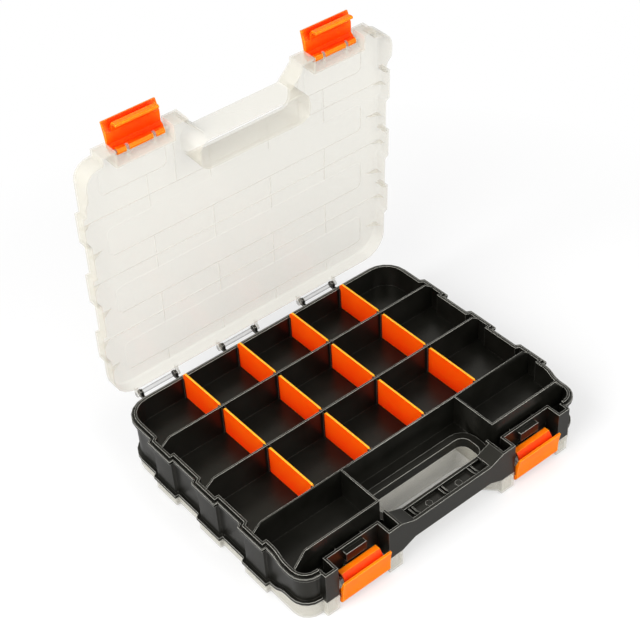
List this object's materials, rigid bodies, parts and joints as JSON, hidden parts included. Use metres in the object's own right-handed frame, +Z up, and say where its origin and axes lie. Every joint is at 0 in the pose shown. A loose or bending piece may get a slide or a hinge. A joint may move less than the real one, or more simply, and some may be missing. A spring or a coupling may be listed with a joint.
{
  "type": "double-sided parts organizer",
  "caption": "Double-sided small-parts organizer case with clear hinged lids, snap latches, a carry handle and removable dividers.",
  "frame": {"origin": "on the ground, at the centre of the width and under the middle row wall of the tray", "axes": "+X to the right seen from the handle side, along the hinges; +Y from the handle to the hinges; +Z up"},
  "size_m": [0.3216, 0.2797, 0.3391],
  "materials": {
    "tray_plastic": "fine satin moulding texture",
    "lid_plastic": "clear, slightly milky",
    "latch_plastic": "smooth satin",
    "divider_plastic": "smooth satin"
  },
  "bodies": {
    "tray": {"tray_rear_wall": "tray_plastic", "tray_rear_corner_left": "tray_plastic", "tray_rear_corner_right": "tray_plastic", "tray_side_wall_left": "tray_plastic", "tray_side_wall_right": "tray_plastic", "tray_row_wall_rear": "tray_plastic", "tray_row_wall_middle": "tray_plastic", "tray_row_wall_front": "tray_plastic", "tray_floor_rear": "tray_plastic", "tray_floor_middle": "tray_plastic", "tray_floor_front": "tray_plastic", "tray_cell_floor_left": "tray_plastic", "tray_cell_floor_right": "tray_plastic", "tray_cell_wall_left": "tray_plastic", "tray_cell_wall_right": "tray_plastic", "tray_handle": "tray_plastic", "tray_latch_bay_left": "tray_plastic", "tray_latch_bay_right": "tray_plastic", "tray_front_corner_left": "tray_plastic", "tray_front_corner_right": "tray_plastic", "tray_upper_catch_left": "tray_plastic", "tray_upper_catch_right": "tray_plastic", "tray_lower_catch_left": "tray_plastic", "tray_lower_catch_right": "tray_plastic", "lower_divider_11": "divider_plastic", "lower_divider_12": "divider_plastic", "lower_divider_13": "divider_plastic", "lower_divider_14": "divider_plastic", "lower_divider_21": "divider_plastic", "lower_divider_22": "divider_plastic", "lower_divider_23": "divider_plastic", "lower_divider_24": "divider_plastic", "lower_divider_31": "divider_plastic", "lower_divider_32": "divider_plastic", "lower_divider_33": "divider_plastic", "lower_divider_34": "divider_plastic"},
    "upper_lid": {"upper_lid_panel": "lid_plastic", "upper_lid_rim": "lid_plastic"},
    "lower_lid": {"lower_lid_panel": "lid_plastic", "lower_lid_rim": "lid_plastic"},
    "upper_latch_left": {"upper_latch_left": "latch_plastic"},
    "upper_latch_right": {"upper_latch_right": "latch_plastic"},
    "lower_latch_left": {"lower_latch_left": "latch_plastic"},
    "lower_latch_right": {"lower_latch_right": "latch_plastic"},
    "upper_divider_11": {"upper_divider_11": "divider_plastic"},
    "upper_divider_12": {"upper_divider_12": "divider_plastic"},
    "upper_divider_13": {"upper_divider_13": "divider_plastic"},
    "upper_divider_14": {"upper_divider_14": "divider_plastic"},
    "upper_divider_21": {"upper_divider_21": "divider_plastic"},
    "upper_divider_22": {"upper_divider_22": "divider_plastic"},
    "upper_divider_23": {"upper_divider_23": "divider_plastic"},
    "upper_divider_24": {"upper_divider_24": "divider_plastic"},
    "upper_divider_31": {"upper_divider_31": "divider_plastic"},
    "upper_divider_32": {"upper_divider_32": "divider_plastic"},
    "upper_divider_33": {"upper_divider_33": "divider_plastic"},
    "upper_divider_34": {"upper_divider_34": "divider_plastic"}
  },
  "joints": [
    {"name": "upper_lid_hinge", "type": "hinge", "parent": "tray", "child": "upper_lid", "pos_m": [0, 0.1333, 0.0575], "axis": [-1, 0, 0], "range_deg": [-87, 93]},
    {"name": "lower_lid_hinge", "type": "hinge", "parent": "tray", "child": "lower_lid", "pos_m": [0, 0.1333, 0.0115], "axis": [1, 0, 0], "range_deg": [0, 180]},
    {"name": "upper_latch_left_hinge", "type": "hinge", "parent": "upper_lid", "child": "upper_latch_left", "pos_m": [-0.098, 0.12131, 0.31502], "axis": [-1, 0, 0], "range_deg": [-97.3, 7.7]},
    {"name": "upper_latch_right_hinge", "type": "hinge", "parent": "upper_lid", "child": "upper_latch_right", "pos_m": [0.098, 0.12131, 0.31502], "axis": [-1, 0, 0], "range_deg": [-97.3, 7.7]},
    {"name": "lower_latch_left_hinge", "type": "hinge", "parent": "lower_lid", "child": "lower_latch_left", "pos_m": [-0.098, -0.1245, 0.01], "axis": [1, 0, 0], "range_deg": [0, 105]},
    {"name": "lower_latch_right_hinge", "type": "hinge", "parent": "lower_lid", "child": "lower_latch_right", "pos_m": [0.098, -0.1245, 0.01], "axis": [1, 0, 0], "range_deg": [0, 105]},
    {"name": "upper_divider_11_slide", "type": "slide", "parent": "tray", "child": "upper_divider_11", "axis": [0, 0, 1], "range_m": [0, 0.045]},
    {"name": "upper_divider_12_slide", "type": "slide", "parent": "tray", "child": "upper_divider_12", "axis": [0, 0, 1], "range_m": [0, 0.045]},
    {"name": "upper_divider_13_slide", "type": "slide", "parent": "tray", "child": "upper_divider_13", "axis": [0, 0, 1], "range_m": [0, 0.045]},
    {"name": "upper_divider_14_slide", "type": "slide", "parent": "tray", "child": "upper_divider_14", "axis": [0, 0, 1], "range_m": [0, 0.045]},
    {"name": "upper_divider_21_slide", "type": "slide", "parent": "tray", "child": "upper_divider_21", "axis": [0, 0, 1], "range_m": [0, 0.045]},
    {"name": "upper_divider_22_slide", "type": "slide", "parent": "tray", "child": "upper_divider_22", "axis": [0, 0, 1], "range_m": [0, 0.045]},
    {"name": "upper_divider_23_slide", "type": "slide", "parent": "tray", "child": "upper_divider_23", "axis": [0, 0, 1], "range_m": [0, 0.045]},
    {"name": "upper_divider_24_slide", "type": "slide", "parent": "tray", "child": "upper_divider_24", "axis": [0, 0, 1], "range_m": [0, 0.045]},
    {"name": "upper_divider_31_slide", "type": "slide", "parent": "tray", "child": "upper_divider_31", "axis": [0, 0, 1], "range_m": [0, 0.045]},
    {"name": "upper_divider_32_slide", "type": "slide", "parent": "tray", "child": "upper_divider_32", "axis": [0, 0, 1], "range_m": [0, 0.045]},
    {"name": "upper_divider_33_slide", "type": "slide", "parent": "tray", "child": "upper_divider_33", "axis": [0, 0, 1], "range_m": [0, 0.045]},
    {"name": "upper_divider_34_slide", "type": "slide", "parent": "tray", "child": "upper_divider_34", "axis": [0, 0, 1], "range_m": [0, 0.045]}
  ]
}
